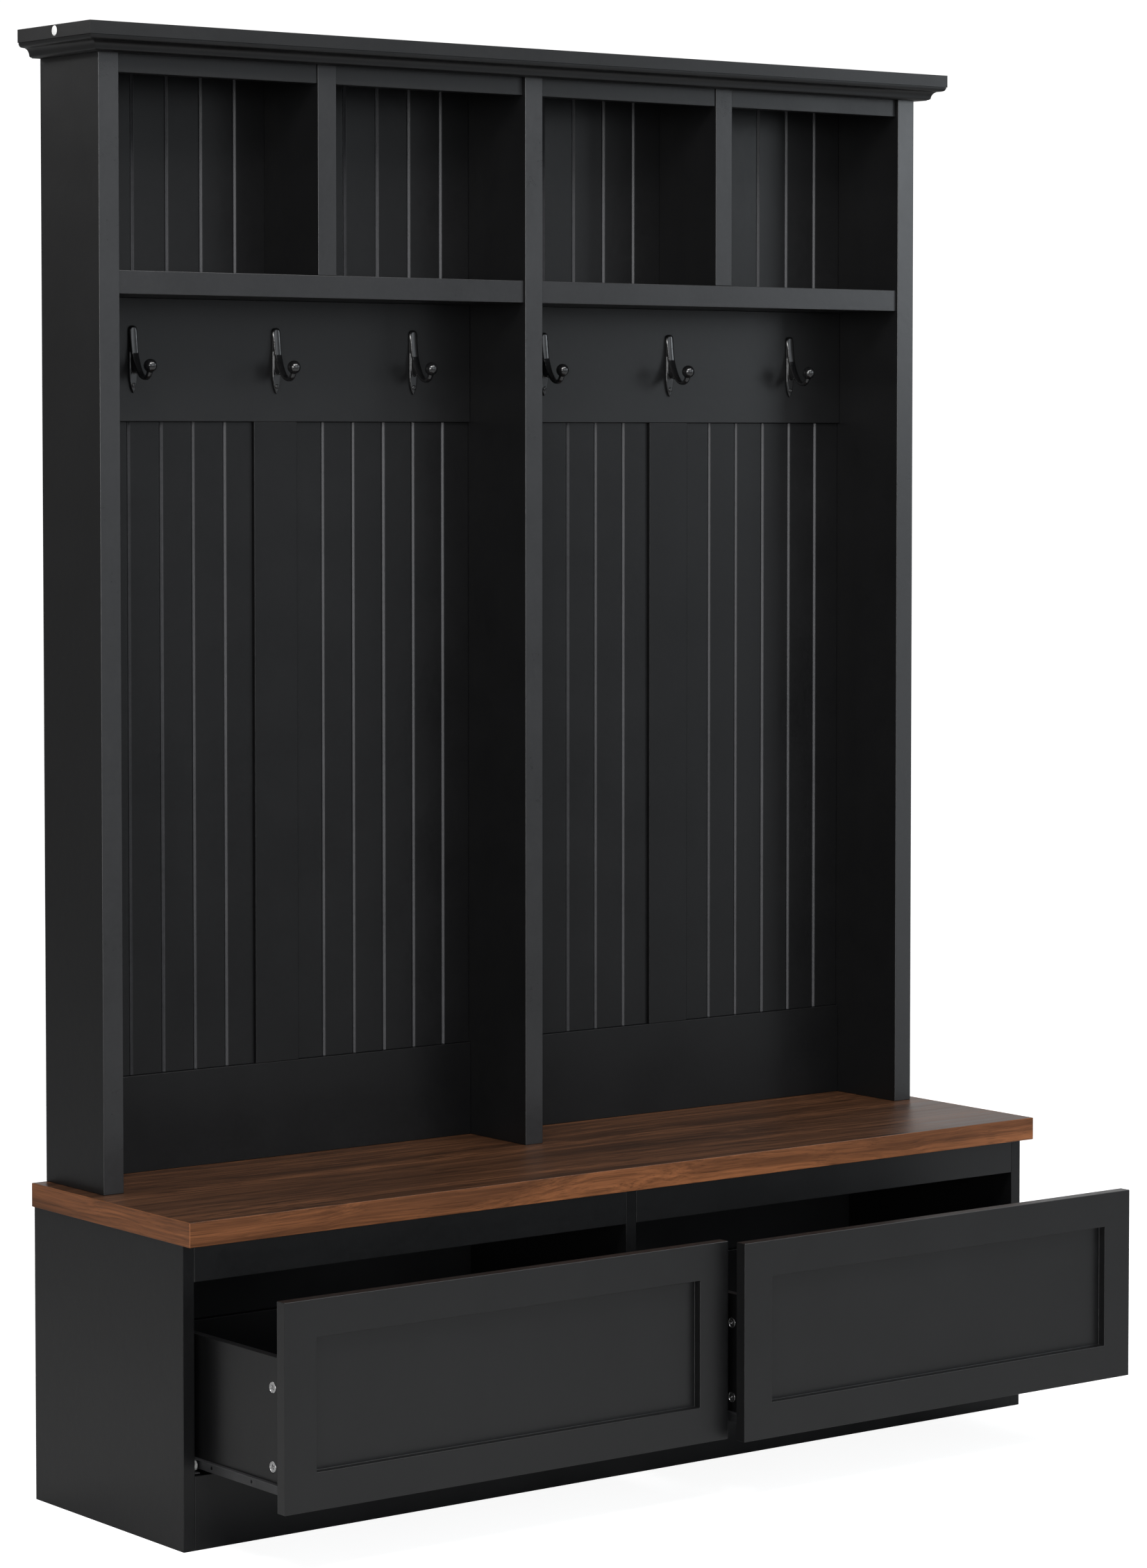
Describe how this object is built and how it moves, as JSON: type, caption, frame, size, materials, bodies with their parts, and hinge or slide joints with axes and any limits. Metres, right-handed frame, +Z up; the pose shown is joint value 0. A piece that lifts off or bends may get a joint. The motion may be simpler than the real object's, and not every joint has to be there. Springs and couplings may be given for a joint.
{
  "type": "hall tree",
  "caption": "A hall tree: a bench with drawers under it, and a shallow beadboard-backed hutch above with coat hooks, cubbies and a moulded cornice",
  "frame": {"origin": "on the floor, under the middle of the overall box with the drawers standing open as modelled", "axes": "+X to the right as seen from the front, +Y to the wall behind, +Z up; the drawers come out along -Y"},
  "size_m": [1.537, 0.632, 2.03],
  "materials": {
    "satin_black_paint": "satin paint with a faint orange-peel texture",
    "walnut": "satin lacquer, grain along the length",
    "hook_black": "gloss black enamel",
    "zinc": "zinc plate",
    "runner_black": "satin powder coat",
    "roller_nylon": "smooth",
    "cap_white": "matte",
    "dark_hardboard": "matt film-faced fibreboard"
  },
  "bodies": {
    "carcass": {"back_stile_left": "satin_black_paint", "back_stile_right": "satin_black_paint", "base_back_panel": "dark_hardboard", "base_divider": "satin_black_paint", "base_plinth": "satin_black_paint", "base_side_left": "satin_black_paint", "base_side_right": "satin_black_paint", "base_top_rail_left": "satin_black_paint", "base_top_rail_right": "satin_black_paint", "beadboard_left_a": "satin_black_paint", "beadboard_left_b": "satin_black_paint", "beadboard_right_a": "satin_black_paint", "beadboard_right_b": "satin_black_paint", "bench_top": "walnut", "cabinet_runners": "runner_black", "cornice_board": "satin_black_paint", "cornice_end_caps": "cap_white", "crown_front": "satin_black_paint", "crown_return_left": "satin_black_paint", "crown_return_right": "satin_black_paint", "cubby_back_left": "satin_black_paint", "cubby_back_right": "satin_black_paint", "cubby_divider_left": "satin_black_paint", "cubby_divider_right": "satin_black_paint", "hook_1": "hook_black", "hook_2": "hook_black", "hook_3": "hook_black", "hook_4": "hook_black", "hook_5": "hook_black", "hook_6": "hook_black", "hook_board_left": "satin_black_paint", "hook_board_right": "satin_black_paint", "hook_screws": "hook_black", "hutch_divider": "satin_black_paint", "hutch_side_left": "satin_black_paint", "hutch_side_right": "satin_black_paint", "hutch_top_panel": "satin_black_paint", "lower_back_board_left": "satin_black_paint", "lower_back_board_right": "satin_black_paint", "shelf_left": "satin_black_paint", "shelf_right": "satin_black_paint", "top_rails": "satin_black_paint"},
    "drawer_left": {"drawer_left_back": "satin_black_paint", "drawer_left_bottom": "dark_hardboard", "drawer_left_cams": "zinc", "drawer_left_front": "satin_black_paint", "drawer_left_runners": "runner_black", "drawer_left_side_left": "satin_black_paint", "drawer_left_side_right": "satin_black_paint"},
    "drawer_right": {"drawer_right_back": "satin_black_paint", "drawer_right_bottom": "dark_hardboard", "drawer_right_cams": "zinc", "drawer_right_front": "satin_black_paint", "drawer_right_runners": "runner_black", "drawer_right_side_left": "satin_black_paint", "drawer_right_side_right": "satin_black_paint"},
    "front_rollers_left": {"front_rollers_left": "roller_nylon"},
    "front_rollers_right": {"front_rollers_right": "roller_nylon"},
    "rear_rollers_left": {"rear_rollers_left": "roller_nylon"},
    "rear_rollers_right": {"rear_rollers_right": "roller_nylon"}
  },
  "joints": [
    {"name": "drawer_left_slide", "type": "slide", "parent": "carcass", "child": "drawer_left", "axis": [0, -1, 0], "range_m": [-0.2, 0.032]},
    {"name": "drawer_right_slide", "type": "slide", "parent": "carcass", "child": "drawer_right", "axis": [0, -1, 0], "range_m": [-0.232, 0]},
    {"name": "front_rollers_left_spin", "type": "hinge", "parent": "carcass", "child": "front_rollers_left", "pos_m": [-0.37175, -0.05, 0.1117], "axis": [1, 0, 0], "range_deg": [-1750, 1750]},
    {"name": "rear_rollers_left_spin", "type": "hinge", "parent": "drawer_left", "child": "rear_rollers_left", "pos_m": [-0.37175, 0.024, 0.1115], "axis": [1, 0, 0], "range_deg": [-1750, 1750]},
    {"name": "front_rollers_right_spin", "type": "hinge", "parent": "carcass", "child": "front_rollers_right", "pos_m": [0.37175, -0.05, 0.1117], "axis": [1, 0, 0], "range_deg": [-1750, 1750]},
    {"name": "rear_rollers_right_spin", "type": "hinge", "parent": "drawer_right", "child": "rear_rollers_right", "pos_m": [0.37175, -0.008, 0.1115], "axis": [1, 0, 0], "range_deg": [-1750, 1750]}
  ],
  "couplings": [
    {"joint": "front_rollers_left_spin", "follows": "drawer_left_slide", "rad_per_m": 128.21},
    {"joint": "rear_rollers_left_spin", "follows": "drawer_left_slide", "rad_per_m": 128.21},
    {"joint": "front_rollers_right_spin", "follows": "drawer_right_slide", "rad_per_m": 128.21},
    {"joint": "rear_rollers_right_spin", "follows": "drawer_right_slide", "rad_per_m": 128.21}
  ]
}
